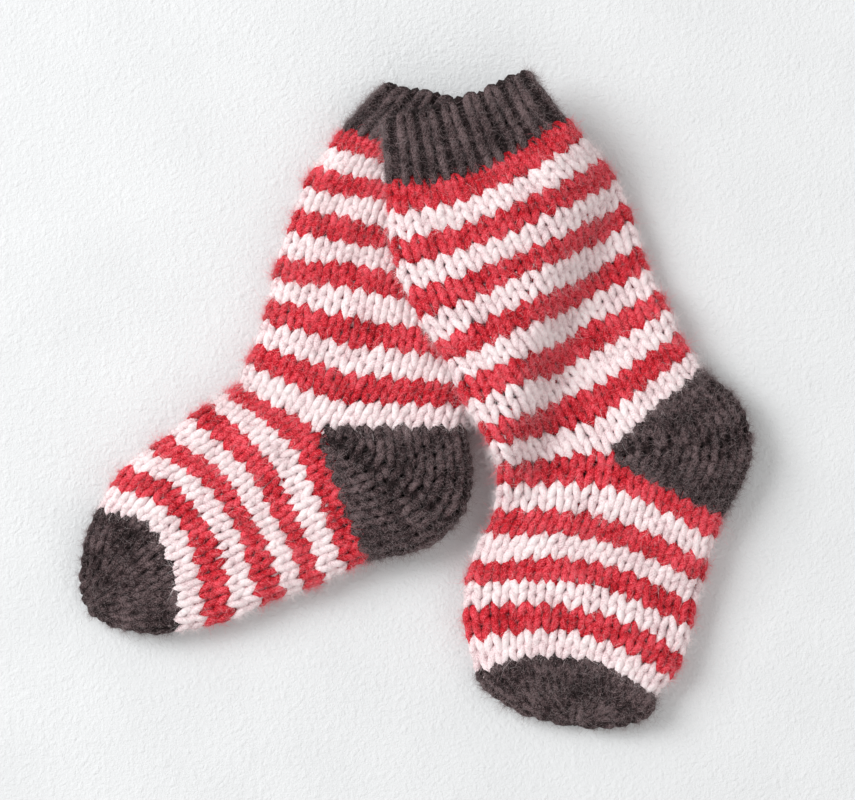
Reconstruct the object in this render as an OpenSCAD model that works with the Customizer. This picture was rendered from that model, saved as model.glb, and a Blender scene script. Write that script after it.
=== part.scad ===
// A pair of hand-knitted baby socks with stripes, lying flat, one partly over the other.
// Millimetres, +Z up. Both socks lie on the plane z = 0 with their cuffs towards +Y.
// Every colour change of the knitting is a sub-part of its own: ribbed cuff, stripes, heel and toe.
// A sock is a hollow, flattened tube. Its shape is given by a few rounds of knitting, each round by
// its front edge, the crest of its row and its back edge, and the rounds between them are computed.

/* [Fabric] */
// Thickness of the knitted fabric
fabric = 2.4; // [2:0.1:2.8]
// Squareness of a flattened round, 2 is an ellipse
squareness = 3; // [2.4:0.1:4]
// How much of the underside lies flat on the table
flat_depth = 0.6; // [0.3:0.1:1]

/* [Loft of the socks as they lie] */
// Height at the open end of the cuff
mouth_loft = 10.5; // [10:0.5:12]
// Height of the leg
leg_loft = 10.5; // [10:0.5:14]
// Height at the ankle, where the heel fills the sock
ankle_loft = 13.5; // [12:0.5:18]
// Height of the foot
foot_loft = 11.5; // [11:0.5:16]
// Height at the tip of the toe
tip_loft = 5; // [4:0.5:8]
// Extra height in the middle of the heel
heel_crown = 2; // [0:0.5:4]

/* [Stripes] */
// Stripes on each leg, red and white in turn
leg_stripes = 12; // [4:2:12]
// Stripes on each foot, red and white in turn
foot_stripes = 8; // [4:2:8]

/* [Overlap] */
// Space between the two socks where one lies over the other
sock_gap = 1.2; // [0.8:0.1:3]
// Width of the slope off the lower sock, at the ankle
slope_at_ankle = 15; // [12:1:18]
// Width of the slope off the lower sock, at the cuff
slope_at_cuff = 24; // [18:1:30]
// How much further out the upper layer of fabric slopes down than the layer under it
layer_shift = 5; // [4:0.5:7]

/* [Hidden] */
// The driving rounds of a sock: [front edge, crest of the row, back edge, roundness of the row, loft].
// Roundness 1 is a row bent sharply at its crest, and 2 or more is a rounded row.
function round_of(front, crest, back, roundness, loft) =
    [front.x, front.y, crest.x, crest.y, back.x, back.y, roundness, loft];

under_cuff = [
    round_of([-8.5, 86], [11.5, 81.5], [32.5, 78], 2, mouth_loft),
    round_of([-20.6, 73.4], [4.3, 67], [30, 62.5], 2, leg_loft)
];
under_leg = [
    under_cuff[1],
    round_of([-30.6, 57.5], [-2.2, 52.2], [26, 45.5], 2, leg_loft),
    round_of([-37.4, 38.9], [-7.6, 34.7], [22, 28], 2, leg_loft),
    round_of([-41.6, 21.6], [-15.5, 15], [18.5, 10.5], 1.6, leg_loft + 1),
    round_of([-48, 4.5], [-26.5, -7.5], [14, -7.5], 1, ankle_loft)
];
under_foot = [
    round_of([-48, 4.5], [-26.5, -7.5], [-12.5, -43.5], 1, ankle_loft),
    round_of([-56.4, -1], [-39.3, -15.2], [-24.6, -49], 1.5, foot_loft + 1),
    round_of([-67.5, -9.4], [-48.4, -23.5], [-35.3, -53.5], 2, foot_loft),
    round_of([-79.6, -18], [-58, -29.5], [-49.6, -59.8], 2, foot_loft),
    round_of([-87.4, -30.2], [-70.2, -35.5], [-65.2, -63.4], 2, foot_loft)
];
under_tip = [-90, -56.9];
under_heel_bulge = 6.8;
// How much a toe narrows beyond a half ellipse, from 0; more makes it a wedge with a blunt end
under_toe_taper = 0.4;

upper_cuff = [
    round_of([-9, 76], [11, 80.4], [30.4, 88.8], 2, mouth_loft),
    round_of([-8.5, 58], [16.5, 61.2], [40.8, 76.3], 2, leg_loft)
];
upper_leg = [
    upper_cuff[1],
    round_of([-5.7, 35.7], [25.5, 45], [54.8, 60.3], 2, leg_loft),
    round_of([4.7, 15.5], [33, 28.2], [61.9, 42], 2, leg_loft),
    round_of([13.4, -1], [42, 10], [69, 24], 1.6, leg_loft + 1),
    round_of([22, -16.5], [51.5, -14], [78, 8.5], 1, ankle_loft)
];
upper_foot = [
    round_of([22, -16.5], [51.5, -14], [83.5, -31.5], 1, ankle_loft),
    round_of([20.8, -29.8], [50, -30.6], [79.5, -43.6], 1.5, foot_loft + 1),
    round_of([14.8, -44], [48, -43.5], [76.6, -55.8], 2, foot_loft),
    round_of([12.4, -56.8], [46, -56.2], [73.2, -70], 2, foot_loft),
    round_of([15.8, -75], [42, -69.5], [65, -81.6], 2.4, foot_loft)
];
upper_tip = [44, -89.5];
upper_heel_bulge = 4.6;
upper_toe_taper = 0;

// A sock: [cuff rounds, leg rounds, foot rounds, tip of the toe, heel bulge,
//     1 if it lies on the other, toe taper]
under_sock = [under_cuff, under_leg, under_foot, under_tip, under_heel_bulge, 0,
    under_toe_taper];
upper_sock = [upper_cuff, upper_leg, upper_foot, upper_tip, upper_heel_bulge, 1,
    upper_toe_taper];

// Where the lower sock ends, which is where the upper one slopes down to the table:
// the back edge of its leg, as x at y = 0 and its lean, and the open end of its cuff
under_back_x = 17.2;
under_back_lean = 0.215;
under_mouth_y = 86;
under_mouth_lean = -0.2;
slope_start = 1.5;
lifted = leg_loft + sock_gap;
ankle_y = -10;
cuff_y = 80;
// The foot of the upper sock comes down to the table over this length past the ankle
landing_length = 25;
// Shift that puts the pair's middle close to x = 0, y = 0
centring = [0.6, 0.45, 0];

around = 28;
cuff_steps = 3;
heel_steps = 8;
toe_steps = 6;
toe_end = 84;
inner_toe_end = 66;

charcoal = [0.24, 0.21, 0.21];
red = [0.80, 0.13, 0.17];
white = [0.93, 0.90, 0.90];

sock_names = ["under_sock", "upper_sock"];
stripe_colours = ["red", "white"];

function stripe_name(sock, part, i) =
    str(sock, "_", part, "_", stripe_colours[i % 2], "_", floor(i / 2) + 1);

// --- Rounds of knitting ---

// The round at a place from 0 to 1 along a list of evenly spaced rounds, on a smooth curve through them
function slope_at(list, i) =
    i <= 0 ? list[1] - list[0] :
    i >= len(list) - 1 ? list[len(list) - 1] - list[len(list) - 2] :
    (list[i + 1] - list[i - 1]) / 2;

function round_at(list, place) =
    let (
        last = len(list) - 2,
        i = min(floor(place * (len(list) - 1)), last),
        t = place * (len(list) - 1) - i
    )
    list[i] * (2 * t ^ 3 - 3 * t ^ 2 + 1) + list[i + 1] * (3 * t ^ 2 - 2 * t ^ 3)
    + slope_at(list, i) * (t ^ 3 - 2 * t ^ 2 + t) + slope_at(list, i + 1) * (t ^ 3 - t ^ 2);

// A flattened round at an angle: 0 is the front edge, 90 the crest of the upper layer, 180 the back edge.
// reach is how far out from the crest line, and rise how far up or down from mid height.
function reach(angle) = abs(cos(angle));
function rise(angle) =
    sign(sin(angle)) * max(0, 1 - reach(angle) ^ squareness) ^ (1 / squareness);

function smooth(t) = let (u = min(max(t, 0), 1)) u * u * (3 - 2 * u);

// Lift of a point of a sock: the upper one lies on the lower one, and slopes off it.
// level runs from -1 on the table side to 1 on the upper side.
function slope_width(y) =
    slope_at_ankle + (slope_at_cuff - slope_at_ankle) * smooth((y - ankle_y) / (cuff_y - ankle_y));

function base_height(p, level, on_top) =
    let (
        start = slope_start + layer_shift * (1 + level) / 2,
        past_back = p.x - (under_back_x + under_back_lean * p.y) - start,
        past_mouth = p.y - (under_mouth_y + under_mouth_lean * p.x) - start,
        past_ankle = ankle_y - p.y,
        width = slope_width(p.y)
    )
    on_top * lifted * (1 - smooth(past_back / width)) * (1 - smooth(past_mouth / width))
    * (1 - smooth(past_ankle / landing_length));

// Plan position on a round, as far out as `out` (1 is the edge) on its front or back side
function on_row(r, out, is_front) =
    let (
        front = [r[0], r[1]], crest = [r[2], r[3]], back = [r[4], r[5]],
        chord = back - front,
        foot = front + chord * ((crest - front) * chord) / (chord * chord),
        edge = is_front ? front : back
    )
    foot + (edge - foot) * out + (crest - foot) * (1 - out ^ r[6]);

// Plan position and height on the outer face (inset 0) or the inner face (inset = fabric) of a round
function on_round(r, angle, inset, on_top) =
    let (
        is_front = cos(angle) > 0,
        edge = is_front ? [r[0], r[1]] : [r[4], r[5]],
        half_width = norm(edge - [r[2], r[3]]),
        p = on_row(r, reach(angle) * (half_width - inset) / half_width, is_front),
        half_loft = r[7] / 2,
        swell = inset > 0 ? half_loft - inset : half_loft + flat_depth * (sin(angle) < 0 ? 1 : 0),
        z = max(0, half_loft + swell * rise(angle))
    )
    [p.x, p.y, z + base_height(p, rise(angle), on_top)];

function ring(r, inset, on_top) =
    [for (i = [0:around - 1]) on_round(r, 360 * i / around, inset, on_top)];

// --- Solids ---

// Skin between neighbouring rings of `count` points each, `flip` turns it inside out
function skin(first_ring, rings, count, flip) = [
    for (j = [0:rings - 2], i = [0:count - 1])
        let (
            a = (first_ring + j) * count + i,
            b = (first_ring + j) * count + (i + 1) % count,
            c = b + count,
            d = a + count
        )
        each flip ? [[a, c, b], [a, d, c]] : [[a, b, c], [a, c, d]]
];

// Flat end of a hollow tube, between its outer ring and its inner ring
function end_face(outer_ring, inner_ring, count, flip) = [
    for (i = [0:count - 1])
        let (
            a = outer_ring * count + i,
            b = outer_ring * count + (i + 1) % count,
            c = inner_ring * count + (i + 1) % count,
            d = inner_ring * count + i
        )
        each flip ? [[a, c, b], [a, d, c]] : [[a, b, c], [a, c, d]]
];

// A band of fabric around the sock, through the given rounds
module band(rounds, on_top) {
    n = len(rounds);
    points = [
        for (inset = [0, fabric], r = rounds) each ring(r, inset, on_top)
    ];
    polyhedron(points, concat(
        skin(0, n, around, false),
        skin(n, n, around, true),
        end_face(0, n, around, true),
        end_face(n - 1, 2 * n - 1, around, false)
    ));
}

module ribbed_cuff(sock) {
    color(charcoal)
        band([for (k = [0:cuff_steps]) round_at(sock[0], k / cuff_steps)], sock[5]);
}

module stripe(sock, list, i, stripes) {
    color(i % 2 == 0 ? red : white)
        band([for (k = [i, i + 1]) round_at(list, k / stripes)], sock[5]);
}

// The heel is swept around the crest of the ankle, from the last leg round to the first foot round.
// Its section is the back half of a round, open towards the ankle.
function heel_section(sock, sweep, inset) =
    let (
        leg_end = sock[1][len(sock[1]) - 1],
        foot_start = sock[2][0],
        pivot = [leg_end[2], leg_end[3]],
        from = [leg_end[4], leg_end[5]] - pivot,
        to = [foot_start[4], foot_start[5]] - pivot,
        from_turn = atan2(from.y, from.x),
        to_turn = atan2(to.y, to.x),
        turn = from_turn + (to_turn - from_turn) * sweep,
        bulge = sock[4] * sin(180 * sweep) ^ 1.5 * (1.2 - 0.45 * sweep),
        radius = norm(from) + (norm(to) - norm(from)) * sweep + bulge,
        half_loft = leg_end[7] / 2,
        quarter = around / 4,
        crown = heel_crown * sin(180 * sweep)
    )
    [
        for (i = [quarter:3 * quarter])
            let (
                angle = 360 * i / around,
                out = i == quarter || i == 3 * quarter ? 0 : reach(angle) * (radius - inset),
                p = pivot + out * [cos(turn), sin(turn)],
                under = sin(angle) < 0 ? 1 : 0,
                swell = inset > 0 ? half_loft - inset : half_loft + flat_depth * under,
                lift = crown * (1 - under) * sin(180 * min(out / radius, 1)),
                z = max(0, half_loft + swell * rise(angle)) + lift
            )
            [p.x, p.y, z + base_height(p, rise(angle), sock[5])]
    ];

// The first and last point of every section lie on the pivot, so each is kept once and shared
module heel(sock) {
    n = around / 2 + 1;
    free = n - 2;
    sections = heel_steps + 1;
    outer = [for (j = [0:heel_steps]) heel_section(sock, j / heel_steps, 0)];
    inner = [for (j = [0:heel_steps]) heel_section(sock, j / heel_steps, fabric)];
    pivots = [outer[0][0], outer[0][n - 1], inner[0][0], inner[0][n - 1]];
    points = concat(
        pivots,
        [for (s = outer) for (i = [1:n - 2]) s[i]],
        [for (s = inner) for (i = [1:n - 2]) s[i]]
    );
    // Number of point i of section j, on the outer (0) or inner (1) face
    function at(face, j, i) =
        i == 0 ? 2 * face :
        i == n - 1 ? 2 * face + 1 :
        4 + (face * sections + j) * free + i - 1;
    function four(a, b, c, d) = [
        if (a != b && b != c && a != c) [a, b, c],
        if (a != c && c != d && a != d) [a, c, d]
    ];
    color(charcoal) polyhedron(points, [
        for (j = [0:heel_steps - 1], i = [0:n - 2])
            each four(at(0, j, i), at(0, j, i + 1), at(0, j + 1, i + 1), at(0, j + 1, i)),
        for (j = [0:heel_steps - 1], i = [0:n - 2])
            each four(at(1, j, i), at(1, j + 1, i), at(1, j + 1, i + 1), at(1, j, i + 1)),
        for (i = [0:n - 2])
            each four(at(0, 0, i), at(1, 0, i), at(1, 0, i + 1), at(0, 0, i + 1)),
        for (i = [0:n - 2])
            each four(at(0, heel_steps, i), at(0, heel_steps, i + 1), at(1, heel_steps, i + 1),
                at(1, heel_steps, i))
    ]);
}

// A round of the toe: the last foot round drawn in towards the tip. turn runs from 0 to 90.
function toe_point(sock, angle, inset, turn) =
    let (
        r = sock[2][len(sock[2]) - 1],
        middle = ([r[0], r[1]] + [r[4], r[5]]) / 2,
        flat = on_round(r, angle, inset, 0),
        narrow = cos(turn) * (1 - sock[6] * sin(turn)),
        p = middle + ([flat.x, flat.y] - middle) * narrow
            + (sock[3] - middle) * sin(turn),
        loft = tip_loft + (r[7] - tip_loft) * cos(turn),
        z = flat.z * loft / r[7]
    )
    [p.x, p.y, z + base_height(p, rise(angle), sock[5])];

module toe(sock) {
    outer_turns = [for (j = [0:toe_steps]) toe_end * j / toe_steps];
    inner_turns = [for (j = [0:toe_steps]) inner_toe_end * j / toe_steps];
    rings = toe_steps + 1;
    points = concat(
        [for (t = outer_turns, i = [0:around - 1]) toe_point(sock, 360 * i / around, 0, t)],
        [for (t = inner_turns, i = [0:around - 1]) toe_point(sock, 360 * i / around, fabric, t)],
        [concat(sock[3], tip_loft / 2)],
        [toe_point(sock, 90, fabric, inner_toe_end) * 0.5 + toe_point(sock, 270, fabric, inner_toe_end) * 0.5]
    );
    tip = 2 * rings * around;
    color(charcoal) polyhedron(points, concat(
        skin(0, rings, around, false),
        skin(rings, rings, around, true),
        end_face(0, rings, around, true),
        [for (i = [0:around - 1])
            [toe_steps * around + i, toe_steps * around + (i + 1) % around, tip]],
        [for (i = [0:around - 1])
            [(rings + toe_steps) * around + (i + 1) % around, (rings + toe_steps) * around + i, tip + 1]]
    ));
}

module sock_parts(sock, name) {
    ribbed_cuff(sock);
    for (i = [0:leg_stripes - 1])
        stripe(sock, sock[1], i, leg_stripes);
    heel(sock);
    for (i = [0:foot_stripes - 1])
        stripe(sock, sock[2], i, foot_stripes);
    toe(sock);
}

translate(centring) sock_parts(under_sock, sock_names[0]);
translate(centring) sock_parts(upper_sock, sock_names[1]);
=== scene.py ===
"""A pair of hand-knitted striped baby socks, lying flat, one partly over the other.

Every band of the socks is knitted here from round yarn: one closed loop of yarn for each round of
stitches, laid on the same surface as the CAD band that it replaces. Loose wool fibres stand off it.
"""
import math

import bpy
import numpy as np
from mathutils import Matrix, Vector


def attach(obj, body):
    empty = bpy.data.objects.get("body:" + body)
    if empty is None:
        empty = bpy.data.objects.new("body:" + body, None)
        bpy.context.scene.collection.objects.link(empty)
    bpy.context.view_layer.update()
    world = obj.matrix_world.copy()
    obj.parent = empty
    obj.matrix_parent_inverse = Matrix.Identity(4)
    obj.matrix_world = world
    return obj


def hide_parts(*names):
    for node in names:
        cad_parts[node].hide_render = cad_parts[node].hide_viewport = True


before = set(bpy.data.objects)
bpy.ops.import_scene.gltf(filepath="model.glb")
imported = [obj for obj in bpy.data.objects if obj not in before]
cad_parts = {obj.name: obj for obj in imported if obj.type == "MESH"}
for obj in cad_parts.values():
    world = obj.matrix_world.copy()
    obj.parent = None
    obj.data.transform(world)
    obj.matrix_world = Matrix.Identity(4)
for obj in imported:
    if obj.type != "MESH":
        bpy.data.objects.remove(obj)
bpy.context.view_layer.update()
SEED = 28
rng = np.random.default_rng(SEED)

MM = 0.001
TINY = 1e-9

# --- The shape of the socks, in millimetres, as the CAD part has it ---

SQUARENESS = 3.0        # exponent of the superellipse that a flattened round has as its section
MOUTH_LOFT, LEG_LOFT, ANKLE_LOFT, FOOT_LOFT, TIP_LOFT = 10.5, 10.5, 13.5, 11.5, 5.0
HEEL_CROWN = 2.0        # how far the middle of the heel stands above its edges
HEEL_BULGE_POWER = 1.5  # the higher, the more the heel's bulge keeps to the middle of its turn
HEEL_BULGE_START, HEEL_BULGE_FALL = 1.2, 0.45   # the bulge is larger on the leg's side of the heel
LEG_STRIPES, FOOT_STRIPES = 12, 8
SOCK_GAP = 1.2
CENTRING = np.array([0.6, 0.45, 0.0])

# The upper sock slopes down past the lower one's back edge, past its mouth and past the ankle.
SLOPE_AT_ANKLE, SLOPE_AT_CUFF = 15.0, 24.0      # length of the slope
SLOPE_START = 1.5       # how far past the lower sock it starts
LAYER_SHIFT = 5.0       # how much further out the upper layer slopes than the one below it
UNDER_BACK_X, UNDER_BACK_LEAN = 17.2, 0.215     # the lower sock's back edge: x at y = 0, x for each y
UNDER_MOUTH_Y, UNDER_MOUTH_LEAN = 86.0, -0.2    # its mouth: y at x = 0, y for each x
LIFTED = LEG_LOFT + SOCK_GAP
ANKLE_Y, CUFF_Y = -10.0, 80.0
LANDING_LENGTH = 25.0   # length of the slope past the ankle

# Driving rounds: front edge x y, crest of the row x y, back edge x y, roundness of the row, loft
FRONT, CREST, BACK, ROUNDNESS, LOFT = slice(0, 2), slice(2, 4), slice(4, 6), 6, 7
UNDER = {
    "cuff": [
        [-8.5, 86, 11.5, 81.5, 32.5, 78, 2, MOUTH_LOFT],
        [-20.6, 73.4, 4.3, 67, 30, 62.5, 2, LEG_LOFT],
    ],
    "leg": [
        [-20.6, 73.4, 4.3, 67, 30, 62.5, 2, LEG_LOFT],
        [-30.6, 57.5, -2.2, 52.2, 26, 45.5, 2, LEG_LOFT],
        [-37.4, 38.9, -7.6, 34.7, 22, 28, 2, LEG_LOFT],
        [-41.6, 21.6, -15.5, 15, 18.5, 10.5, 1.6, LEG_LOFT + 1],
        [-48, 4.5, -26.5, -7.5, 14, -7.5, 1, ANKLE_LOFT],
    ],
    "foot": [
        [-48, 4.5, -26.5, -7.5, -12.5, -43.5, 1, ANKLE_LOFT],
        [-56.4, -1, -39.3, -15.2, -24.6, -49, 1.5, FOOT_LOFT + 1],
        [-67.5, -9.4, -48.4, -23.5, -35.3, -53.5, 2, FOOT_LOFT],
        [-79.6, -18, -58, -29.5, -49.6, -59.8, 2, FOOT_LOFT],
        [-87.4, -30.2, -70.2, -35.5, -65.2, -63.4, 2, FOOT_LOFT],
    ],
    "tip": [-90, -56.9],
    "heel_bulge": 6.8,
    "toe_taper": 0.4,
    "foot_stitches": [28] * 4 + [26] * 4 + [24] * 4 + [22] * 4,
    "toe_stitches": [22, 20, 18, 14, 10, 6, 4],
    "on_top": 0,
}
UPPER = {
    "cuff": [
        [-9, 76, 11, 80.4, 30.4, 88.8, 2, MOUTH_LOFT],
        [-8.5, 58, 16.5, 61.2, 40.8, 76.3, 2, LEG_LOFT],
    ],
    "leg": [
        [-8.5, 58, 16.5, 61.2, 40.8, 76.3, 2, LEG_LOFT],
        [-5.7, 35.7, 25.5, 45, 54.8, 60.3, 2, LEG_LOFT],
        [4.7, 15.5, 33, 28.2, 61.9, 42, 2, LEG_LOFT],
        [13.4, -1, 42, 10, 69, 24, 1.6, LEG_LOFT + 1],
        [22, -16.5, 51.5, -14, 78, 8.5, 1, ANKLE_LOFT],
    ],
    "foot": [
        [22, -16.5, 51.5, -14, 83.5, -31.5, 1, ANKLE_LOFT],
        [20.8, -29.8, 50, -30.6, 79.5, -43.6, 1.5, FOOT_LOFT + 1],
        [14.8, -44, 48, -43.5, 76.6, -55.8, 2, FOOT_LOFT],
        [12.4, -56.8, 46, -56.2, 73.2, -70, 2, FOOT_LOFT],
        [15.8, -75, 42, -69.5, 65, -81.6, 2.4, FOOT_LOFT],
    ],
    "tip": [44, -89.5],
    "heel_bulge": 4.6,
    "toe_taper": 0.0,
    "foot_stitches": [28] * 10 + [26] * 6,
    "toe_stitches": [26, 24, 22, 20, 16, 10, 6],
    "on_top": 1,
}
SOCKS = {"under_sock": UNDER, "upper_sock": UPPER}

# --- The knitting ---

STITCHES = 28           # round the leg: 12 over the front of the foot and 16 over the heel
FRONT_STITCHES = 12
CUFF_ROWS = 6
ROWS_PER_STRIPE = 2
HEEL_ROUNDS = 8
TOE_END = 84.0          # how far the toe is drawn in, in degrees, at its last round
YARN_RADIUS = 1.19
PLY = 0.06              # how far the two plies of the yarn stand out, as a share of its radius
TWIST_PITCH = 5.0       # length of yarn, in millimetres, in which the plies wind once round
LOOP_LEAN = 0.205       # sideways swing of a loop's legs, in stitches
LOOP_REACH = 0.84       # how far a loop reaches into the next round, in rounds
LOOP_DEPTH = 0.60       # how far the legs stand in front of the heads
RIB_LEAN = 0.13         # the same swing in the rib, whose legs stand upright
RIB_DEPTH = 0.70        # how far the plain columns of the rib stand forward of the purl ones
RIB_SPREAD = 0.26       # how far the plain columns spread over the purl ones, in stitches
RIB_INSET = 0.20        # how far the rib lies behind the plain fabric, so that the cuffs stay apart
RIB_PURL_SHARE = 0.6    # depth of a purl loop, as a share of a plain one's
RIB_CHANGE_POWER = 8    # the higher, the shorter the change between a plain and a purl loop
HEEL_OVERLAP = 0.20     # how far the heel's first round lies over its edge, in rounds and in mm
TOE_OVERLAP = 0.25      # how far the toe's rounds are shifted towards the foot, in rounds
MITRE = 0.6             # how near the heel's mitre a loop starts to shorten, in stitches
SHORTEST_COLUMN = 0.35  # least length of a heel's column from its edge to the mitre, in rounds
CAST_ON = 0.55          # rows that the first round is drawn in from the edge of the mouth
MIDDLE_INSET = 1.75     # from the outer face of the CAD band to the middle of the fabric
LUMPS = (0.35, 0.25)    # how uneven the hand-knitted fabric is, across it and within it, in mm
LUMP_SIZE = 4.0         # unit of the lumps' waves: stitches round the sock, and rows along it
LUMP_STRETCH = (1.6, 3.0)   # shortest and longest wave along the sock, in lump sizes
LUMP_SUM = 1.4          # what the sum of the waves is divided by
LUMP_FADE = 3           # rows in which the lumps fade in at each end
STEPS_PER_STITCH = 14
SIDES = 8

# Unevenness of handwork: the spread of each measure of a loop. Lean and reach are shares of their own
# value, across is in stitches, along in rounds and depth in mm.
PLAIN_UNEVEN = {"lean": 0.12, "reach": 0.06, "across": 0.04, "along": 0.08, "depth": 0.12}
HEEL_UNEVEN = {"across": 0.03, "along": 0.06, "depth": 0.14}
RADIUS_UNEVEN = 0.06    # as a share of the yarn's radius

# Samples of the charts that the stitches are placed on
FINE = 8                # to a stitch
ROWS_FINE = 4           # to a row
ANGLE_SAMPLES = 121     # of half a round, before it is spaced by stitches
ANGLES = np.linspace(0, math.pi, ANGLE_SAMPLES)
HEEL_SAMPLES = 61       # of a quarter of a round, on the heel
SPARE_ROWS = 1.5        # rows that a chart reaches past its ends, for the loops that overlap
HEEL_SWEEPS = 64        # round the heel
HEEL_SPARE = 24         # that the heel's chart goes straight on for past each end
TOE_START, TOE_SAMPLES = -10, 81    # where the toe's chart starts, in degrees; its edge is at 0
LAST_CELL = 1.001       # keeps a place just inside its chart, where there is a next row and column


# --- The surface that the stitches lie on ---

def smooth(t):
    """Eases from 0 to 1, and stays there outside."""
    t = np.clip(t, 0, 1)
    return t * t * (3 - 2 * t)


def round_at(rounds, place):
    """The round at a place along a list of evenly spaced driving rounds; straight on past its ends."""
    r = np.asarray(rounds, float)
    steps = len(r) - 1
    inside = min(max(place, 0.0), 1.0)
    i = min(int(inside * steps), steps - 1)
    t = inside * steps - i

    def slope(k):
        if k <= 0:
            return r[1] - r[0]
        if k >= steps:
            return r[-1] - r[-2]
        return (r[k + 1] - r[k - 1]) / 2

    value = (r[i] * (2 * t**3 - 3 * t**2 + 1) + r[i + 1] * (3 * t**2 - 2 * t**3)
             + slope(i) * (t**3 - 2 * t**2 + t) + slope(i + 1) * (t**3 - t**2))
    past = (place - inside) * steps
    return value + past * slope(0 if place < 0 else steps)


def rise(angle):
    """Height of a flattened round at an angle: from -1 on the table to 1 at its top."""
    reach = np.abs(np.cos(angle))
    level = np.maximum(0, 1 - reach**SQUARENESS) ** (1 / SQUARENESS)
    return np.where(np.sin(angle) < 0, -level, level)


def base_height(x, y, level, on_top):
    """Lift of a point: the upper sock lies on the lower one and slopes off it."""
    if not on_top:
        return np.zeros_like(x)
    start = SLOPE_START + LAYER_SHIFT * (1 + level) / 2
    past_back = x - (UNDER_BACK_X + UNDER_BACK_LEAN * y) - start
    past_mouth = y - (UNDER_MOUTH_Y + UNDER_MOUTH_LEAN * x) - start
    along = smooth((y - ANKLE_Y) / (CUFF_Y - ANKLE_Y))
    width = SLOPE_AT_ANKLE + (SLOPE_AT_CUFF - SLOPE_AT_ANKLE) * along
    return (LIFTED * (1 - smooth(past_back / width)) * (1 - smooth(past_mouth / width))
            * (1 - smooth((ANKLE_Y - y) / LANDING_LENGTH)))


def on_round(r, angle, inset, on_top):
    """Points of a flattened round: angle 0 is the front edge, pi / 2 the crest of the upper layer."""
    front, crest, back = r[FRONT], r[CREST], r[BACK]
    chord = back - front
    foot = front + chord * np.dot(crest - front, chord) / np.dot(chord, chord)
    is_front = (np.cos(angle) > 0)[:, None]
    edge = np.where(is_front, front, back)
    half_width = np.linalg.norm(edge - crest, axis=1)
    out = np.abs(np.cos(angle)) * (half_width - inset) / half_width
    p = foot + (edge - foot) * out[:, None] + (crest - foot) * (1 - out ** r[ROUNDNESS])[:, None]
    level = rise(angle)
    z = r[LOFT] / 2 + (r[LOFT] / 2 - inset) * level
    z = z + base_height(p[:, 0], p[:, 1], level, on_top)
    return np.column_stack([p, z])


def arc_length(points):
    """Length along a line of points, from 0 at the first of them."""
    return np.concatenate([[0], np.cumsum(np.linalg.norm(np.diff(points, axis=0), axis=1))])


def evenly(points, stations, count_between):
    """Points re-spaced by arc length between stations, each a start and an end as shares of it."""
    length = arc_length(points)
    marks = [length[0]]
    for (a, b), n in zip(stations, count_between):
        marks.extend(a * length[-1] + (b - a) * length[-1] * (np.arange(n) + 1) / n)
    return np.column_stack([np.interp(marks, length, points[:, k]) for k in range(3)])


def ring_points(r, inset, on_top):
    """A round as chart samples: from the front edge over the top to the back edge and back below."""
    half_front, half_back = FRONT_STITCHES // 2, (STITCHES - FRONT_STITCHES) // 2
    lock = min(max(2 - r[ROUNDNESS], 0.0), 1.0)
    halves = []
    for below in (False, True):
        angles = ANGLES + math.pi if below else ANGLES
        points = on_round(r, angles, inset, on_top)
        length = arc_length(points)
        crest = np.interp(math.pi / 2, ANGLES, length) / length[-1]
        first = half_back if below else half_front
        share = (1 - lock) * first / (half_front + half_back) + lock * crest
        halves.append(evenly(points, [(0, share), (share, 1)],
                             [FINE * first, FINE * (half_front + half_back - first)]))
    return np.vstack([halves[0][:-1], halves[1][:-1]])


def unit(v):
    """Vectors of length 1, along the last axis."""
    return v / np.maximum(np.linalg.norm(v, axis=-1, keepdims=True), TINY)


def surface_normals(grid, closed):
    """Outward unit normals of a grid of points whose columns go round the sock."""
    if closed:
        across = np.roll(grid, -1, axis=1) - np.roll(grid, 1, axis=1)
    else:
        across = np.gradient(grid, axis=1)
    return unit(np.cross(np.gradient(grid, axis=0), across))


class Chart:
    """A grid of surface points that turns (column, row) into a place and an outward normal."""

    def __init__(self, grid, columns, rows, closed):
        self.grid, self.closed = grid, closed
        self.columns, self.rows = columns, rows
        self.normal = surface_normals(grid, closed)

    def at(self, column, row):
        """Places and normals at arrays of columns and rows."""
        n_rows, n_cols = self.grid.shape[:2]
        cells = n_cols if self.closed else n_cols - 1
        u = (np.asarray(column) - self.columns[0]) / (self.columns[1] - self.columns[0]) * cells
        v = (np.asarray(row) - self.rows[0]) / (self.rows[1] - self.rows[0]) * (n_rows - 1)
        v = np.clip(v, 0, n_rows - LAST_CELL)
        if not self.closed:
            u = np.clip(u, 0, n_cols - LAST_CELL)
        i, j = np.floor(u).astype(int), np.floor(v).astype(int)
        fu, fv = (u - i)[:, None], (v - j)[:, None]
        i0, i1 = (i % n_cols, (i + 1) % n_cols) if self.closed else (i, i + 1)

        def mix(a):
            return ((a[j, i0] * (1 - fu) + a[j, i1] * fu) * (1 - fv)
                    + (a[j + 1, i0] * (1 - fu) + a[j + 1, i1] * fu) * fv)

        return mix(self.grid), unit(mix(self.normal))


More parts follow.
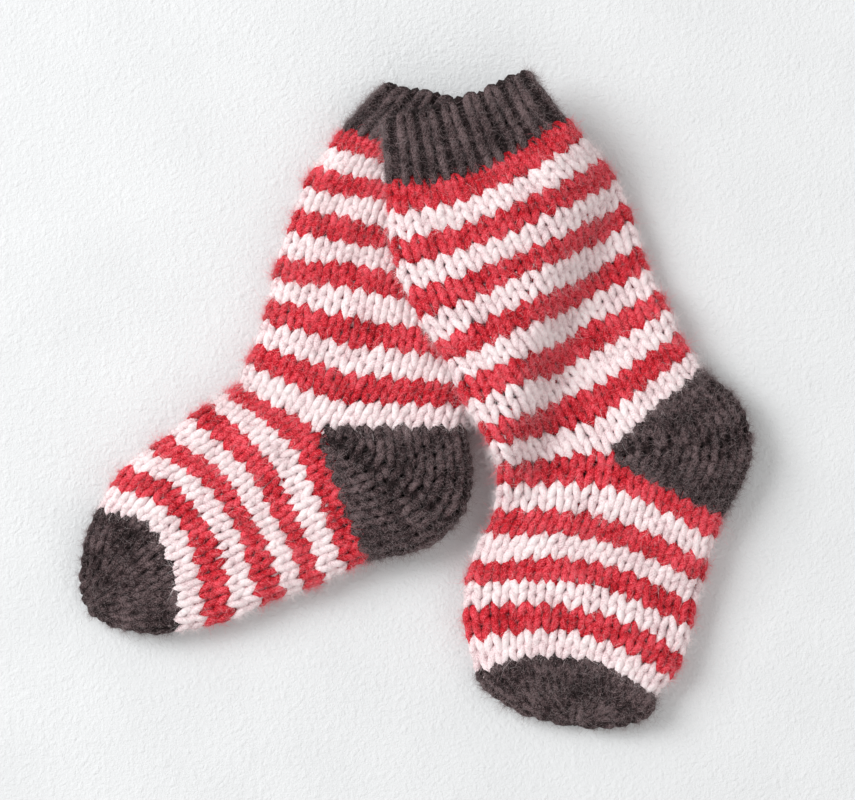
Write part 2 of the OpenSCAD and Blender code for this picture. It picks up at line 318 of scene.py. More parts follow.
def lumpy(grid, rows_per_sample, rng_seed):
    """The grid with soft random unevenness that fades out towards its first and last rows."""
    lumps = np.random.default_rng(rng_seed)
    n_rows, n_cols = grid.shape[:2]
    row = np.arange(n_rows)[:, None] * rows_per_sample
    turn = 2 * math.pi * np.arange(n_cols)[None, :] / n_cols
    shift = np.zeros((n_rows, n_cols, 3))
    for waves in range(2, round(STITCHES / LUMP_SIZE)):
        for axis in range(3):
            pitch = 2 * math.pi / (LUMP_SIZE * lumps.uniform(*LUMP_STRETCH))
            start = lumps.uniform(0, 2 * math.pi, 2)
            shift[:, :, axis] += np.sin(waves * turn + start[0]) * np.sin(pitch * row + start[1])
    ends = np.minimum(row, row[-1] - row)
    shift *= (smooth((ends - 2 * SPARE_ROWS) / LUMP_FADE) / LUMP_SUM)[:, :, None]
    across, within = LUMPS
    normal = surface_normals(grid, True)
    flat = shift - normal * np.sum(shift * normal, axis=2, keepdims=True)
    return grid + flat * within + normal * shift[:, :, 2:] * across


def tube_chart(sock, part, rows):
    """Chart of the cuff, the leg or the foot. Column 0 is the front edge."""
    count = int((rows + 2 * SPARE_ROWS) * ROWS_FINE) + 1
    places = np.linspace(-SPARE_ROWS, rows + SPARE_ROWS, count) / rows
    grid = np.array([
        ring_points(round_at(sock[part], p), MIDDLE_INSET, sock["on_top"]) for p in places
    ])
    grid = lumpy(grid, 1 / ROWS_FINE, rng.integers(1000))
    return Chart(grid, (0, STITCHES), (-SPARE_ROWS, rows + SPARE_ROWS), True)


def heel_layer(pivot, turn, radius, loft, crown, below, on_top):
    """Points of one layer of the heel, on a line from the pivot out to the back edge or back in."""
    angles = np.linspace(math.pi / 2, math.pi, HEEL_SAMPLES) + (math.pi / 2 if below else 0)
    level = rise(angles)
    out = np.abs(np.cos(angles)) * (radius - MIDDLE_INSET)
    x = pivot[0] + out * math.cos(turn)
    y = pivot[1] + out * math.sin(turn)
    z = loft / 2 + (loft / 2 - MIDDLE_INSET) * level
    if not below:
        z = z + crown * np.sin(math.pi * np.clip(out / radius, 0, 1))
    z = z + base_height(x, y, level, on_top)
    return np.column_stack([x, y, z])


def heel_chart(sock):
    """Chart of the heel, which turns from the leg's last round, row 0, to the foot's first, row 1.

    Column 0 is the crest of the upper layer, 8 the back edge and 16 the crest of the layer below.
    """
    leg_end, foot_start = np.array(sock["leg"][-1], float), np.array(sock["foot"][0], float)
    pivot = leg_end[CREST]
    start, end = leg_end[BACK] - pivot, foot_start[BACK] - pivot
    start_turn, end_turn = math.atan2(start[1], start[0]), math.atan2(end[1], end[0])
    grid = []
    half = (STITCHES - FRONT_STITCHES) // 2
    for sweep in np.linspace(0, 1, HEEL_SWEEPS + 1):
        turn = start_turn + (end_turn - start_turn) * sweep
        bulge = (sock["heel_bulge"] * max(0.0, math.sin(math.pi * sweep)) ** HEEL_BULGE_POWER
                 * (HEEL_BULGE_START - HEEL_BULGE_FALL * sweep))
        radius = (np.linalg.norm(start) * (1 - sweep) + np.linalg.norm(end) * sweep + bulge)
        crown = HEEL_CROWN * math.sin(math.pi * sweep)
        section = []
        for below in (False, True):
            points = heel_layer(pivot, turn, radius, leg_end[LOFT], crown, below, sock["on_top"])
            section.append(evenly(points, [(0, 1)], [FINE * half]))
        grid.append(np.vstack([section[0][:-1], section[1]]))
    grid = np.array(grid)
    spare = np.arange(1, HEEL_SPARE + 1)[:, None, None]
    before = (grid[0] + (grid[0] - grid[1]) * spare)[::-1]
    after = grid[-1] + (grid[-1] - grid[-2]) * spare
    past = HEEL_SPARE / HEEL_SWEEPS
    return Chart(np.concatenate([before, grid, after]), (0, 2 * half), (-past, 1 + past), False)


def toe_chart(sock):
    """Chart of the toe: column as on the foot, row from 0 at the last foot round to 1 at the tip."""
    last = np.array(sock["foot"][-1], float)
    middle = (last[FRONT] + last[BACK]) / 2
    ring = ring_points(last, MIDDLE_INSET, 0)
    tip = np.array(sock["tip"], float)
    tip = middle + (tip - middle) * (1 - MIDDLE_INSET / np.linalg.norm(tip - middle))
    grid = []
    for turn in np.radians(np.linspace(TOE_START, 90, TOE_SAMPLES)):
        narrow = math.cos(turn) * (1 - sock["toe_taper"] * math.sin(turn))
        p = middle + (ring[:, :2] - middle) * narrow + (tip - middle) * math.sin(turn)
        loft = TIP_LOFT + (last[LOFT] - TIP_LOFT) * math.cos(turn)
        flatter = (loft / 2 - MIDDLE_INSET) / (last[LOFT] / 2 - MIDDLE_INSET)
        z = loft / 2 + (ring[:, 2] - last[LOFT] / 2) * flatter
        grid.append(np.column_stack([p, z + base_height(p[:, 0], p[:, 1], 0, sock["on_top"])]))
    return Chart(np.array(grid), (0, STITCHES), (TOE_START / 90, 1), True)


# --- Yarn ---

def wander(count, size):
    """A closed, smooth random track: one random value a stitch, joined by cosine steps."""
    values = rng.normal(0, size, count)
    place = np.arange(count * STEPS_PER_STITCH) / STEPS_PER_STITCH
    i = np.floor(place).astype(int)
    f = (1 - np.cos((place - i) * math.pi)) / 2
    return values[i % count] * (1 - f) + values[(i + 1) % count] * f


class Yarn:
    """One closed round of yarn: its middle line, the fabric's normal, its radius, and its depth.

    Depth is how far the middle line stands in front of the middle of the fabric.
    """

    def __init__(self, points, normals, radius, depth):
        self.points, self.normals, self.radius, self.depth = points, normals, radius, depth


def loops(count):
    """Position along the round in stitches, and the phase of each stitch, for a closed round."""
    t = np.arange(count * STEPS_PER_STITCH) / STEPS_PER_STITCH
    return t, 2 * math.pi * t


def new_yarn(points, normals, depth, count, inset=0.0):
    """Yarn of uneven radius that stands depth in front of points, less an inset."""
    points = points + normals * (depth - inset)[:, None]
    return Yarn(points, normals, YARN_RADIUS * (1 + wander(count, RADIUS_UNEVEN)), depth)


def knit_round(chart, row, count, row_size=1.0, ribbed=False):
    """A closed round of stitches. row_size is the height of one round in chart rows."""
    t, phase = loops(count)
    lean = (RIB_LEAN if ribbed else LOOP_LEAN) * (1 + wander(count, PLAIN_UNEVEN["lean"]))
    reach = LOOP_REACH * (1 + wander(count, PLAIN_UNEVEN["reach"]))
    across = t + lean * np.sin(2 * phase) + wander(count, PLAIN_UNEVEN["across"])
    along = -reach * np.cos(phase) + wander(count, PLAIN_UNEVEN["along"])
    depth = -LOOP_DEPTH * np.cos(2 * phase)
    if ribbed:
        # Even columns are plain, with their legs in front; odd ones are purl, and lie behind them.
        plain = np.where(np.round(t) % 2 == 0, 1.0, -RIB_PURL_SHARE)
        between = np.sin(phase / 2) ** RIB_CHANGE_POWER
        depth = plain * depth * (1 - between) + RIB_DEPTH * np.cos(math.pi * t)
        across = across + RIB_SPREAD * np.sin(math.pi * t)
    points, normals = chart.at(across * (STITCHES / count), row + along * row_size)
    depth = depth + wander(count, PLAIN_UNEVEN["depth"])
    return new_yarn(points, normals, depth, count, RIB_INSET if ribbed else 0.0)


def knit_band(chart, first_row, counts):
    """Plain rounds, with the number of stitches that is given for each."""
    return [knit_round(chart, first_row + k + 0.5, n) for k, n in enumerate(counts)]


def knit_cuff(chart):
    """Ribbed rounds, drawn in a little from the edge of the mouth."""
    step = (CUFF_ROWS - CAST_ON) / CUFF_ROWS
    rows = [CAST_ON + (k + 0.5) * step for k in range(CUFF_ROWS)]
    return [knit_round(chart, row, STITCHES, ribbed=True) for row in rows]


def knit_heel_round(chart, k):
    """One closed round of the heel, along its leg side and back along its foot side.

    A loop keeps to one column and points the same way on both sides, so that the columns run
    through from the leg to the foot. The sides meet in a mitre.
    """
    width = STITCHES - FRONT_STITCHES
    inset = k + 0.5
    half = int(width - 2 * inset)
    count = 2 * half
    t, phase = loops(count)
    phase = phase + math.pi
    across = t + LOOP_LEAN * np.sin(2 * phase) + wander(count, HEEL_UNEVEN["across"])
    across = across % count
    is_back = across > half
    column = inset + np.where(is_back, count - across, across)
    to_mitre = np.minimum(np.abs(half - across), np.minimum(across, count - across))
    way = np.where(is_back, -1, 1) * smooth(to_mitre / MITRE)
    overlap = HEEL_OVERLAP * (1 - k / HEEL_ROUNDS)
    from_edge = inset - way * LOOP_REACH * np.cos(phase) + wander(count, HEEL_UNEVEN["along"])
    radial = np.maximum(np.minimum(column, width - column), SHORTEST_COLUMN)
    share = np.clip(0.5 * (from_edge - overlap) / radial, -HEEL_SPARE / HEEL_SWEEPS, 0.5)
    points, normals = chart.at(column, np.where(is_back, 1 - share, share))
    depth = -LOOP_DEPTH * np.cos(2 * phase) + wander(count, HEEL_UNEVEN["depth"])
    return new_yarn(points, normals, depth + overlap, count)


def knit_toe(chart, counts):
    """Rounds that close the toe, evenly spaced over the chart and drawn a little to the foot."""
    step = TOE_END / 90 / len(counts)
    return [
        knit_round(chart, (k + 0.5 - TOE_OVERLAP) * step, count, row_size=step)
        for k, count in enumerate(counts)
    ]


# --- Meshes ---

TABLE_GAP = 0.02        # the wool flattens against the table this far above it


def new_mesh(name, points, quads, triangles=None, uv=None):
    """A mesh from arrays, in metres, with a UV map where one is given for each corner."""
    mesh = bpy.data.meshes.new(name)
    triangles = np.zeros((0, 3), int) if triangles is None else triangles
    corners = np.concatenate([quads.reshape(-1), triangles.reshape(-1)])
    starts = np.concatenate([
        np.arange(len(quads)) * 4, len(quads) * 4 + np.arange(len(triangles)) * 3
    ])
    mesh.vertices.add(len(points))
    mesh.vertices.foreach_set("co", ((points + CENTRING) * MM).astype(np.float32).reshape(-1))
    mesh.loops.add(len(corners))
    mesh.loops.foreach_set("vertex_index", corners.astype(np.int32))
    mesh.polygons.add(len(starts))
    mesh.polygons.foreach_set("loop_start", starts.astype(np.int32))
    mesh.polygons.foreach_set("use_smooth", np.ones(len(starts), bool))
    if uv is not None:
        layer = mesh.uv_layers.new(name="yarn")
        layer.data.foreach_set("uv", uv.astype(np.float32).reshape(-1))
    mesh.update()
    mesh.validate()
    piece = bpy.data.objects.new(name, mesh)
    bpy.context.scene.collection.objects.link(piece)
    return piece


def yarn_tube(yarn, first):
    """Vertices, quads, corner UVs and heights of a closed two-ply yarn.

    U runs along the yarn in millimetres and V round it. Height is above the middle of the fabric.
    """
    p, n = yarn.points, len(yarn.points)
    tangent = unit(np.roll(p, -1, axis=0) - np.roll(p, 1, axis=0))
    side = unit(np.cross(tangent, yarn.normals))
    up = np.cross(side, tangent)
    angle = 2 * math.pi * np.arange(SIDES) / SIDES - math.pi / 2
    ring = (side[:, None, :] * np.cos(angle)[None, :, None]
            + up[:, None, :] * np.sin(angle)[None, :, None])
    step = np.linalg.norm(np.roll(p, -1, axis=0) - p, axis=1)
    u = np.concatenate([[0], np.cumsum(step)])
    turns = max(1, round(u[-1] / TWIST_PITCH))
    wound = 2 * math.pi * turns * u[:-1] / u[-1]
    ply = 1 + PLY * np.cos(2 * (angle[None, :] + wound[:, None]))
    radius = yarn.radius[:, None] * ply
    points = p[:, None, :] + ring * radius[:, :, None]
    height = yarn.depth[:, None] + radius * np.sin(angle)[None, :]
    i, j = np.meshgrid(np.arange(n), np.arange(SIDES), indexing="ij")
    i2, j2 = (i + 1) % n, (j + 1) % SIDES
    quads = np.stack([i * SIDES + j, i2 * SIDES + j, i2 * SIDES + j2, i * SIDES + j2], axis=-1)
    corner_u = np.stack([u[i], u[i + 1], u[i + 1], u[i]], axis=-1)
    corner_v = np.stack([j, j, j + 1, j + 1], axis=-1) / SIDES
    uv = np.stack([corner_u, corner_v], axis=-1)
    quads = quads.reshape(-1, 4) + first
    return points.reshape(-1, 3), quads, uv.reshape(-1, 2), height.reshape(-1)


def yarn_piece(name, yarns):
    """The mesh of some rounds of yarn, with the height of each point, from which the material paints
    shade.
    """
    parts, first = [], 0
    for yarn in yarns:
        parts.append(yarn_tube(yarn, first))
        first += len(parts[-1][0])
    points, quads, uv, height = (np.concatenate([part[k] for part in parts]) for k in range(4))
    points[:, 2] = np.maximum(points[:, 2], TABLE_GAP)
    piece = new_mesh(name, points, quads, uv=uv)
    lowest, highest = -YARN_RADIUS - LOOP_DEPTH, YARN_RADIUS + LOOP_DEPTH
    # Height in the fabric, from 0 to 1, from which the material paints shade between the loops.
    share = np.clip((height - lowest) / (highest - lowest), 0, 1)
    heights = piece.data.attributes.new("height", "FLOAT", "POINT")
    heights.data.foreach_set("value", share.astype(np.float32))
    return piece


# --- Loose fibres ---

# Nap lies over the stitches and halo stands off them. Of each: the fibres for each round, their mean
# length and their radius in mm, how upright they are, from 0 to 1, how many times more of them stand
# on the sides of a sock, and the width at each point before the tip, as a share of the radius.
NAP_WIDTHS = (1.0, 0.8)
NAP = {
    "charcoal_wool": {"each": 640, "length": 1.4, "radius": 0.027, "stand": 0.26, "at_sides": 0,
                      "widths": NAP_WIDTHS},
    "red_wool": {"each": 900, "length": 1.8, "radius": 0.029, "stand": 0.36, "at_sides": 0,
                 "widths": NAP_WIDTHS},
    "white_wool": {"each": 900, "length": 1.8, "radius": 0.029, "stand": 0.36, "at_sides": 0,
                   "widths": NAP_WIDTHS},
}
HALO = {"each": 580, "length": 2.0, "radius": 0.022, "stand": 0.5, "at_sides": 10,
        "widths": (1.0, 0.9, 0.6)}
FIBRE_SIDES = 3
ROOT_DEPTH = 0.92       # where a fibre leaves its yarn, as a share of the yarn's radius
ROOT_SPREAD = 0.8       # how widely round the yarn the fibres leave it, in radians
HEADING_SPREAD = 0.12   # unevenness of a fibre's first direction
CURL, CURL_SPREAD = 0.45, 0.25      # how much a fibre bends at each step, evenly and unevenly
LENGTH_SHAPE = 2.5      # shape of the gamma distribution of the fibres' lengths
MIDDLE_WEIGHT, BACK_WEIGHT = 0.10, 0.02     # fibres at the middle and back of the fabric; 1 is the most
UNDER_SHARE = 0.15      # how many of the fibres are left on the underside
UNDER_CHANGE, UNDER_START = 1.2, 0.6        # how the share changes with the way a loop faces


def fibre_roots(yarns, count, at_sides):
    """Random points on the yarns, with the fabric's normals and the yarn's direction there."""
    points = np.concatenate([y.points for y in yarns])
    normals = np.concatenate([y.normals for y in yarns])
    depth = np.concatenate([y.depth for y in yarns])
    along = np.concatenate([unit(np.roll(y.points, -1, axis=0) - y.points) for y in yarns])
    # Most fibres are on the fronts of the loops, and few are left where the sock lies on the table.
    facing_up = smooth(normals[:, 2] * UNDER_CHANGE + UNDER_START)
    weight = np.clip(MIDDLE_WEIGHT + depth, BACK_WEIGHT, 1)
    weight = weight * (UNDER_SHARE + (1 - UNDER_SHARE) * facing_up)
    weight = weight * (1 + at_sides * (1 - normals[:, 2] ** 2))
    pick = rng.choice(len(points), count, p=weight / weight.sum())
    return points[pick], normals[pick], along[pick]


def fibre_spines(yarns, count, fibres):
    """Points along each fibre, from the surface of its yarn to its tip."""
    steps, stand = len(fibres["widths"]), fibres["stand"]
    p, n, t = fibre_roots(yarns, count, fibres["at_sides"])
    side = unit(np.cross(t, n))
    angle = rng.normal(0, ROOT_SPREAD, (count, 1))
    out = unit(n * np.cos(angle) + side * np.sin(angle))
    flat = rng.normal(0, 1, (count, 3))
    flat = unit(flat - n * np.sum(flat * n, axis=1, keepdims=True))
    heading = flat * (1 - stand) + out * stand + rng.normal(0, HEADING_SPREAD, (count, 3))
    heading = unit(heading)
    size = fibres["length"] * rng.gamma(LENGTH_SHAPE, 1 / LENGTH_SHAPE, (count, 1))
    curl = rng.normal(0, CURL, (count, 3))
    spine = [p + out * (YARN_RADIUS * ROOT_DEPTH)]
    for _ in range(steps):
        spine.append(spine[-1] + heading * size / steps)
        heading = unit(heading + curl + rng.normal(0, CURL_SPREAD, (count, 3)))
    return np.stack(spine, axis=1)


def fibre_faces(rings):
    """Quads and triangles of one fibre: rings of FIBRE_SIDES points, closed at its root, and a tip."""
    sides = FIBRE_SIDES
    quads, triangles = [], [[2, 1, 0]]
    for a in range(sides):
        b = (a + 1) % sides
        triangles.append([(rings - 1) * sides + a, (rings - 1) * sides + b, rings * sides])
        for k in range(0, (rings - 1) * sides, sides):
            quads.append([k + a, k + b, k + sides + b, k + sides + a])
    return np.array(quads), np.array(triangles)


def fibre_piece(name, yarns, fibres):
    """Fine fibres, so many for each round, that leave the yarns' surface, curl, and end in a point."""
    count = fibres["each"] * len(yarns)
    widths = np.array(fibres["widths"])
    spine = fibre_spines(yarns, count, fibres)
    tangent = unit(np.gradient(spine, axis=1))
    some = unit(np.cross(tangent, unit(rng.normal(0, 1, (count, 1, 3)))))
    other = np.cross(tangent, some)
    angle = (2 * math.pi * np.arange(FIBRE_SIDES) / FIBRE_SIDES)[:, None]
    ring = some[:, :-1, None] * np.cos(angle) + other[:, :-1, None] * np.sin(angle)
    body = spine[:, :-1, None] + ring * (fibres["radius"] * widths)[:, None, None]
    vertices = np.concatenate([body.reshape(count, -1, 3), spine[:, -1:]], axis=1)
    first = (np.arange(count) * (len(widths) * FIBRE_SIDES + 1))[:, None, None]
    quads, triangles = fibre_faces(len(widths))
    quads = (quads[None] + first).reshape(-1, 4)
    triangles = (triangles[None] + first).reshape(-1, 3)
    vertices = vertices.reshape(-1, 3)
    vertices[:, 2] = np.maximum(vertices[:, 2], TABLE_GAP)
    return new_mesh(name, vertices, quads, triangles)


# --- Materials ---

# Colours of the yarn: its painted shade down between the loops, most of it and its lightest wool;
# its sheen; and the colours of its nap and its halo. The names are the record's material slots.
WOOLS = {
    "charcoal_wool": {
        "painted_shade": (0.006, 0.003, 0.003), "main": (0.0235, 0.0124, 0.0134),
        "light": (0.185, 0.128, 0.131), "sheen": 0.22,
        "nap": (0.128, 0.088, 0.091), "halo": (0.30, 0.228, 0.230),
    },
    "red_wool": {
        "painted_shade": (0.20, 0.001, 0.004), "main": (0.555, 0.0070, 0.0175),
        "light": (0.90, 0.12, 0.160), "sheen": 0.25,
        "nap": (0.83, 0.085, 0.115), "halo": (0.91, 0.27, 0.31),
    },
    "white_wool": {
        "painted_shade": (0.63, 0.445, 0.465), "main": (0.91, 0.745, 0.76),
        "light": (0.985, 0.92, 0.92), "sheen": 0.25,
        "nap": (0.98, 0.87, 0.875), "halo": (0.97, 0.87, 0.875),
    },
}
# The first stop is painted shade, reached where the yarn lies lowest between the loops.
COLOUR_STOPS = {"painted_shade": 0.12, "main": 0.52, "light": 0.95}

# Noise: scale, detail and how much of it there is
FIBRE_NOISE = (3.0, 3.0, 1.2)       # in the space that winds with the plies; the others in metres
FLEECE_NOISE = (2600.0, 2.0, 1.6)
PATCH_NOISE = (150.0, 1.0, 0.9)
# Painted shade: the backs of the loops, down between them, are painted less bright than their fronts.
PAINTED_SHADE_WEIGHT = 1.2     # how much lighter the front of a loop is than its back
FRONT_HEIGHT = 0.85     # height of a loop's front, from 0 at the back of the fabric to 1 at its top
FIBRE_STRETCH = 0.16    # noise space for each mm along the yarn: the less, the longer its fibres
WOOL_ROUGHNESS, WOOL_SPECULAR, SHEEN_ROUGHNESS = 0.92, 0.25, 0.55
WOOL_BUMP, WOOL_RELIEF = 0.6, 0.22 * MM
FIBRE_ROUGHNESS, FIBRE_SPECULAR, FIBRE_SHEEN = 0.8, 0.2, 0.3
NOISE_ROUGHNESS = 0.6

FLOOR_STOPS = [(0.30, (0.692, 0.704, 0.713)), (0.70, (0.727, 0.739, 0.748))]
FLOOR_ROUGHNESS, FLOOR_SPECULAR = 0.7, 0.25
STROKE_NOISE = (330.0, 4.0, 1.6)
GRAIN_NOISE = (1100.0, 2.0, 0.35)
CLOUD_SCALE, CLOUD_DETAIL = 30.0, 2.0
FLOOR_BUMP, FLOOR_RELIEF = 0.55, 0.8 * MM


def maths(tree, operation, *values):
    """A Math node. Each value is a number or the output of another node."""
    node = tree.nodes.new("ShaderNodeMath")
    node.operation = operation
    for socket, value in zip(node.inputs, values):
        if isinstance(value, (int, float)):
            socket.default_value = value
        else:
            tree.links.new(value, socket)
    return node.outputs[0]


def noise(tree, where, scale, detail):
    """A noise texture from 0 to 1, at the given coordinates."""
    node = tree.nodes.new("ShaderNodeTexNoise")
    node.inputs["Scale"].default_value = scale
    node.inputs["Detail"].default_value = detail
    node.inputs["Roughness"].default_value = NOISE_ROUGHNESS
    tree.links.new(where, node.inputs["Vector"])
    return node.outputs["Fac"]


def ramp(tree, factor, stops):
    """Colours that follow a factor through stops, each a position and a colour."""
    node = tree.nodes.new("ShaderNodeValToRGB")
    elements = node.color_ramp.elements
    elements[0].position, elements[0].color = stops[0][0], (*stops[0][1], 1)
    elements[1].position, elements[1].color = stops[-1][0], (*stops[-1][1], 1)
    for position, colour in stops[1:-1]:
        elements.new(position).color = (*colour, 1)
    tree.links.new(factor, node.inputs["Fac"])
    return node.outputs["Color"]


def bump(tree, shader, height, strength, distance):
    """Relief of the given height on a shader's normal."""
    node = tree.nodes.new("ShaderNodeBump")
    node.inputs["Strength"].default_value = strength
    node.inputs["Distance"].default_value = distance
    tree.links.new(height, node.inputs["Height"])
    tree.links.new(node.outputs["Normal"], shader.inputs["Normal"])


def fibre_space(tree):
    """Coordinates in which noise runs in fine fibres that wind round the yarn with its plies."""
    uv = tree.nodes.new("ShaderNodeUVMap")
    uv.uv_map = "yarn"
    split = tree.nodes.new("ShaderNodeSeparateXYZ")
    tree.links.new(uv.outputs["UV"], split.inputs[0])
    turn = maths(tree, "MULTIPLY_ADD", split.outputs["X"], 1 / TWIST_PITCH, split.outputs["Y"])
    angle = maths(tree, "MULTIPLY", turn, 2 * math.pi)
    join = tree.nodes.new("ShaderNodeCombineXYZ")
    tree.links.new(maths(tree, "SINE", angle), join.inputs[0])
    tree.links.new(maths(tree, "COSINE", angle), join.inputs[1])
    tree.links.new(maths(tree, "MULTIPLY", split.outputs["X"], FIBRE_STRETCH), join.inputs[2])
    return join.outputs[0]


def new_material(name, roughness, specular):
    """A material, with its node tree and its shader."""
    material = bpy.data.materials.new(name)
    material.use_nodes = True
    tree = material.node_tree
    shader = tree.nodes["Principled BSDF"]
    shader.inputs["Roughness"].default_value = roughness
    shader.inputs["Specular IOR Level"].default_value = specular
    return material, tree, shader


def yarn_material(name, wool):
    """Spun wool: fibres that wind round the yarn, soft colour changes, and painted shade between loops.
    """
    material, tree, shader = new_material(name, WOOL_ROUGHNESS, WOOL_SPECULAR)
    shader.inputs["Sheen Weight"].default_value = wool["sheen"]
    shader.inputs["Sheen Roughness"].default_value = SHEEN_ROUGHNESS
    shader.inputs["Sheen Tint"].default_value = (*wool["light"], 1)

    where = tree.nodes.new("ShaderNodeTexCoord").outputs["Object"]
    height = tree.nodes.new("ShaderNodeAttribute")
    height.attribute_name = "height"
    fibres = noise(tree, fibre_space(tree), *FIBRE_NOISE[:2])
    fleece = noise(tree, where, *FLEECE_NOISE[:2])
    patches = noise(tree, where, *PATCH_NOISE[:2])
    relief = maths(tree, "MULTIPLY", fleece, FLEECE_NOISE[2])
    relief = maths(tree, "MULTIPLY_ADD", fibres, FIBRE_NOISE[2], relief)
    # Painted shade: the lower a point lies in the fabric, the darker it is painted.
    shade = maths(tree, "MULTIPLY_ADD", height.outputs["Fac"], PAINTED_SHADE_WEIGHT, relief)
    shade = maths(tree, "MULTIPLY_ADD", patches, PATCH_NOISE[2], shade)
    # Each noise averages 0.5, so the fronts of the loops average this shade, and a factor of 0.5.
    front_shade = PAINTED_SHADE_WEIGHT * FRONT_HEIGHT + 0.5 * (
        FIBRE_NOISE[2] + FLEECE_NOISE[2] + PATCH_NOISE[2])
    factor = maths(tree, "SUBTRACT", shade, front_shade - 0.5)
    stops = [(position, wool[tone]) for tone, position in COLOUR_STOPS.items()]
    tree.links.new(ramp(tree, factor, stops), shader.inputs["Base Color"])
    bump(tree, shader, relief, WOOL_BUMP, WOOL_RELIEF)
    return material


def fibre_material(name, colour):
    """Loose fibres, too fine to show more than one colour."""
    material, _, shader = new_material(name, FIBRE_ROUGHNESS, FIBRE_SPECULAR)
    shader.inputs["Base Color"].default_value = (*colour, 1)
    shader.inputs["Sheen Weight"].default_value = FIBRE_SHEEN
    return material


def floor_material():
    """Brushed paint: low ridges where the noise folds over, and a fine grain."""
    material, tree, shader = new_material("painted_table", FLOOR_ROUGHNESS, FLOOR_SPECULAR)
    where = tree.nodes.new("ShaderNodeTexCoord").outputs["Object"]
    strokes = noise(tree, where, *STROKE_NOISE[:2])
    grain = noise(tree, where, *GRAIN_NOISE[:2])
    clouds = noise(tree, where, CLOUD_SCALE, CLOUD_DETAIL)
    tree.links.new(ramp(tree, clouds, FLOOR_STOPS), shader.inputs["Base Color"])
    ridge = maths(tree, "ABSOLUTE", maths(tree, "SUBTRACT", strokes, 0.5))
    relief = maths(tree, "MULTIPLY", ridge, STROKE_NOISE[2])
    relief = maths(tree, "MULTIPLY_ADD", grain, GRAIN_NOISE[2], relief)
    bump(tree, shader, relief, FLOOR_BUMP, FLOOR_RELIEF)
    return material


def wool_of(name):
    """The wool that a band is knitted from: the cuffs, heels and toes are charcoal."""
    if "_red" in name:
        return "red_wool"
    if "_white" in name:
        return "white_wool"
    return "charcoal_wool"


# --- Building the socks ---

YARN_MATERIALS = {slot: yarn_material(slot, wool) for slot, wool in WOOLS.items()}
NAP_MATERIALS = {slot: fibre_material(f"{slot}_nap", wool["nap"]) for slot, wool in WOOLS.items()}
HALO_MATERIALS = {slot: fibre_material(f"{slot}_halo", wool["halo"]) for slot, wool in WOOLS.items()}


def add_piece(piece, body, material):
    """Gives a piece its material and the body that it rides on."""
    piece.data.materials.append(material)
    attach(piece, body)


def knit_sock(name, sock):
    """The rounds of yarn of each band of a sock, by the name of the CAD node that they replace."""
    leg = tube_chart(sock, "leg", LEG_STRIPES * ROWS_PER_STRIPE)
    foot = tube_chart(sock, "foot", FOOT_STRIPES * ROWS_PER_STRIPE)
    bands = {f"{name}_cuff": knit_cuff(tube_chart(sock, "cuff", CUFF_ROWS))}
    leg_counts = [STITCHES] * (LEG_STRIPES * ROWS_PER_STRIPE)
    for part, chart, counts in (("leg", leg, leg_counts), ("foot", foot, sock["foot_stitches"])):
        for i, row in enumerate(range(0, len(counts), ROWS_PER_STRIPE)):
            node = f"{name}_{part}_{('red', 'white')[i % 2]}_{i // 2 + 1}"
            bands[node] = knit_band(chart, row, counts[row:row + ROWS_PER_STRIPE])
    heel = heel_chart(sock)
    bands[f"{name}_heel"] = [knit_heel_round(heel, k) for k in range(HEEL_ROUNDS)]
    bands[f"{name}_toe"] = knit_toe(toe_chart(sock), sock["toe_stitches"])
    return bands


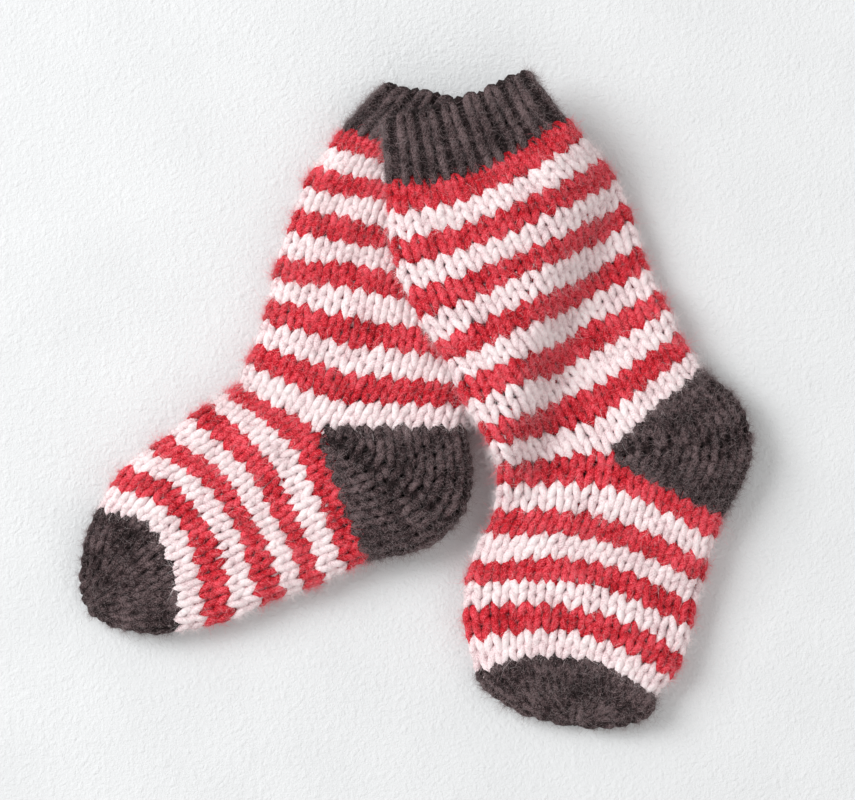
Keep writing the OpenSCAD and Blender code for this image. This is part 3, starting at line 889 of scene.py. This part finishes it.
def build_sock(name, sock):
    """A piece for each band, then the loose fibres of each wool on all of its bands."""
    by_wool = {}
    for node, yarns in knit_sock(name, sock).items():
        slot = wool_of(node)
        piece = yarn_piece(f"{node}_yarn", yarns)
        add_piece(piece, name, YARN_MATERIALS[slot])
        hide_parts(node)
        by_wool.setdefault(slot, []).extend(yarns)
    for slot, yarns in by_wool.items():
        nap = fibre_piece(f"{name}_{slot}_nap", yarns, NAP[slot])
        add_piece(nap, name, NAP_MATERIALS[slot])
        halo = fibre_piece(f"{name}_{slot}_halo", yarns, HALO)
        add_piece(halo, name, HALO_MATERIALS[slot])


for sock_name, sock_shape in SOCKS.items():
    build_sock(sock_name, sock_shape)

# --- Table, light and camera ---

FLOOR_SIZE = 6.0
bpy.ops.mesh.primitive_plane_add(size=FLOOR_SIZE)
floor = bpy.context.object
floor.name = "table"
floor.data.materials.append(floor_material())

# Area lights that point at the origin: place, length of a side, power in watts and colour
LIGHTS = {
    "window": ((-1.3, 0.6, 1.25), 1.1, 34.0, (0.985, 0.995, 1.0)),
    "fill": ((0.9, -0.5, 1.0), 1.2, 3.0, (1.0, 0.98, 0.96)),
}
for light_name, (place, side, power, colour) in LIGHTS.items():
    light_data = bpy.data.lights.new(light_name, "AREA")
    light_data.shape, light_data.size, light_data.size_y = "RECTANGLE", side, side
    light_data.energy, light_data.color = power, colour
    light = bpy.data.objects.new(light_name, light_data)
    light.location = place
    light.rotation_euler = (-Vector(place)).to_track_quat("-Z", "Y").to_euler()
    bpy.context.scene.collection.objects.link(light)

ROOM_COLOUR, ROOM_LIGHT = (1.0, 0.985, 0.975, 1), 0.60
world = bpy.data.worlds.new("studio")
world.use_nodes = True
background = world.node_tree.nodes["Background"]
background.inputs["Color"].default_value = ROOM_COLOUR
background.inputs["Strength"].default_value = ROOM_LIGHT
bpy.context.scene.world = world
bpy.context.scene.view_settings.view_transform = "Standard"

VIEW_WIDTH = 0.2309     # width of the view at the height of the socks
VIEW_MIDDLE = (0.0040, 0.0007, 0.008)
CAMERA_HEIGHT = 0.90    # above the middle of the view; the camera looks straight down
SENSOR_WIDTH = 36.0     # in millimetres, as the lens is
camera_data = bpy.data.cameras.new("camera")
camera_data.sensor_width = SENSOR_WIDTH
camera_data.lens = SENSOR_WIDTH * CAMERA_HEIGHT / VIEW_WIDTH
camera = bpy.data.objects.new("camera", camera_data)
camera.location = (VIEW_MIDDLE[0], VIEW_MIDDLE[1], VIEW_MIDDLE[2] + CAMERA_HEIGHT)
bpy.context.scene.collection.objects.link(camera)
bpy.context.scene.camera = camera
